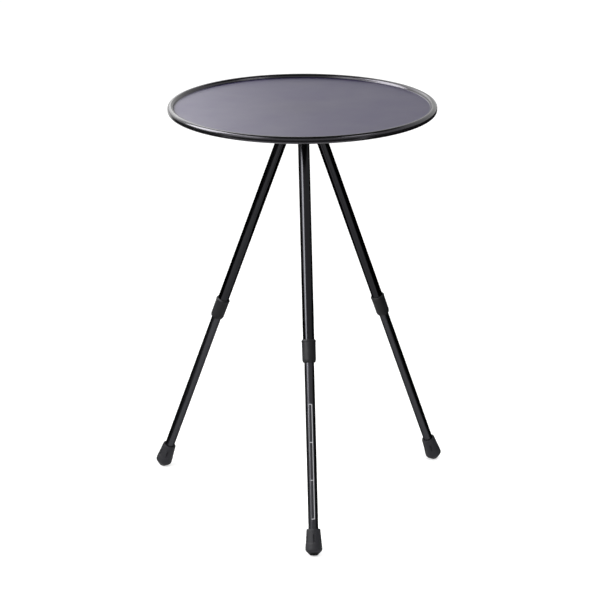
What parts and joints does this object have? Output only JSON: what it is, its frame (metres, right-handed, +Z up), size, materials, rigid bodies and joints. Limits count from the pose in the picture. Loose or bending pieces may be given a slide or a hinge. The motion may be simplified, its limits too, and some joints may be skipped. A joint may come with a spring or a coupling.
{
  "type": "folding camping table",
  "caption": "Round tray-top camping side table on a folding tripod of telescoping twist-lock legs with rubber feet.",
  "frame": {"origin": "on the ground, under the middle of the box that holds the table; the tray's axis stands 31 mm behind it, at +Y", "axes": "+Z up; the front leg points to -Y, the right leg to +X and +Y, the left leg to -X and +Y"},
  "size_m": [0.4556, 0.461, 0.6194],
  "materials": {
    "tray_paint": "satin black powder coat on spun aluminium",
    "tube_anodised": "black anodised drawn tube, satin",
    "nylon": "black moulded nylon, fine matt",
    "foot_rubber": "black moulded rubber, matt",
    "zinc_steel": "zinc-plated steel",
    "brass": "turned brass"
  },
  "bodies": {
    "root": {"tripod_hub": "nylon", "pivot_screw_front": "zinc_steel", "pivot_screw_right": "zinc_steel", "pivot_screw_left": "zinc_steel", "pivot_nut_front": "zinc_steel", "pivot_nut_right": "zinc_steel", "pivot_nut_left": "zinc_steel"},
    "tabletop": {"table_top": "tray_paint", "top_socket": "nylon", "socket_insert": "brass", "weld_stud_1": "zinc_steel", "weld_stud_2": "zinc_steel", "weld_stud_3": "zinc_steel", "stud_washer_1": "zinc_steel", "stud_washer_2": "zinc_steel", "stud_washer_3": "zinc_steel", "stud_nut_1": "zinc_steel", "stud_nut_2": "zinc_steel", "stud_nut_3": "zinc_steel"},
    "washer": {"clamp_washer": "zinc_steel"},
    "clamp": {"clamp_knob": "nylon", "knob_cap": "nylon", "clamp_screw": "zinc_steel", "retaining_ring": "zinc_steel"},
    "upper_leg_front": {"leg_knuckle_front": "nylon", "plug_pin_front": "zinc_steel", "upper_tube_front": "tube_anodised", "leg_collar_front": "nylon"},
    "sleeve_front": {"expander_sleeve_front": "nylon"},
    "cone_front": {"expander_cone_front": "nylon"},
    "lower_leg_front": {"lower_tube_front": "tube_anodised", "leg_foot_front": "foot_rubber", "expander_plug_front": "nylon", "expander_stud_front": "zinc_steel"},
    "upper_leg_right": {"leg_knuckle_right": "nylon", "plug_pin_right": "zinc_steel", "upper_tube_right": "tube_anodised", "leg_collar_right": "nylon"},
    "sleeve_right": {"expander_sleeve_right": "nylon"},
    "cone_right": {"expander_cone_right": "nylon"},
    "lower_leg_right": {"lower_tube_right": "tube_anodised", "leg_foot_right": "foot_rubber", "expander_plug_right": "nylon", "expander_stud_right": "zinc_steel"},
    "upper_leg_left": {"leg_knuckle_left": "nylon", "plug_pin_left": "zinc_steel", "upper_tube_left": "tube_anodised", "leg_collar_left": "nylon"},
    "sleeve_left": {"expander_sleeve_left": "nylon"},
    "cone_left": {"expander_cone_left": "nylon"},
    "lower_leg_left": {"lower_tube_left": "tube_anodised", "leg_foot_left": "foot_rubber", "expander_plug_left": "nylon", "expander_stud_left": "zinc_steel"}
  },
  "joints": [
    {"name": "tabletop_lift", "type": "slide", "parent": "root", "child": "tabletop", "axis": [0, 0, 1], "range_m": [0, 0.06]},
    {"name": "clamp_travel", "type": "slide", "parent": "root", "child": "washer", "axis": [0, 0, -1], "range_m": [0, 0.008]},
    {"name": "clamp_turn", "type": "hinge", "parent": "washer", "child": "clamp", "pos_m": [0, 0.03053, 0.56553], "axis": [0, 0, -1], "range_deg": [0, 2880]},
    {"name": "leg_fold_front", "type": "hinge", "parent": "root", "child": "upper_leg_front", "pos_m": [0, 0.00453, 0.58153], "axis": [1, 0, 0], "range_deg": [0, 21.33]},
    {"name": "leg_slide_front", "type": "slide", "parent": "upper_leg_front", "child": "sleeve_front", "axis": [0, 0.3637, 0.9315], "range_m": [0, 0.225]},
    {"name": "leg_twist_front", "type": "hinge", "parent": "sleeve_front", "child": "lower_leg_front", "pos_m": [0, -0.11551, 0.27413], "axis": [0, -0.3637, -0.9315], "range_deg": [0, 360]},
    {"name": "cone_shift_front", "type": "slide", "parent": "sleeve_front", "child": "cone_front", "axis": [0, 0.3637, 0.9315], "range_m": [0, 0.0008]},
    {"name": "leg_fold_right", "type": "hinge", "parent": "root", "child": "upper_leg_right", "pos_m": [0.02252, 0.04353, 0.58153], "axis": [-0.5, 0.866, 0], "range_deg": [0, 21.33]},
    {"name": "leg_slide_right", "type": "slide", "parent": "upper_leg_right", "child": "sleeve_right", "axis": [-0.315, -0.1819, 0.9315], "range_m": [0, 0.225]},
    {"name": "leg_twist_right", "type": "hinge", "parent": "sleeve_right", "child": "lower_leg_right", "pos_m": [0.12647, 0.10354, 0.27413], "axis": [0.315, 0.1819, -0.9315], "range_deg": [0, 360]},
    {"name": "cone_shift_right", "type": "slide", "parent": "sleeve_right", "child": "cone_right", "axis": [-0.315, -0.1819, 0.9315], "range_m": [0, 0.0008]},
    {"name": "leg_fold_left", "type": "hinge", "parent": "root", "child": "upper_leg_left", "pos_m": [-0.02252, 0.04353, 0.58153], "axis": [-0.5, -0.866, 0], "range_deg": [0, 21.33]},
    {"name": "leg_slide_left", "type": "slide", "parent": "upper_leg_left", "child": "sleeve_left", "axis": [0.315, -0.1819, 0.9315], "range_m": [0, 0.225]},
    {"name": "leg_twist_left", "type": "hinge", "parent": "sleeve_left", "child": "lower_leg_left", "pos_m": [-0.12647, 0.10354, 0.27413], "axis": [-0.315, 0.1819, -0.9315], "range_deg": [0, 360]},
    {"name": "cone_shift_left", "type": "slide", "parent": "sleeve_left", "child": "cone_left", "axis": [0.315, -0.1819, 0.9315], "range_m": [0, 0.0008]}
  ],
  "couplings": [
    {"joint": "clamp_travel", "follows": "clamp_turn", "m_per_rad": 0.00015915},
    {"joint": "cone_shift_front", "follows": "leg_twist_front", "m_per_rad": 0.00012732},
    {"joint": "cone_shift_right", "follows": "leg_twist_right", "m_per_rad": 0.00012732},
    {"joint": "cone_shift_left", "follows": "leg_twist_left", "m_per_rad": 0.00012732}
  ]
}
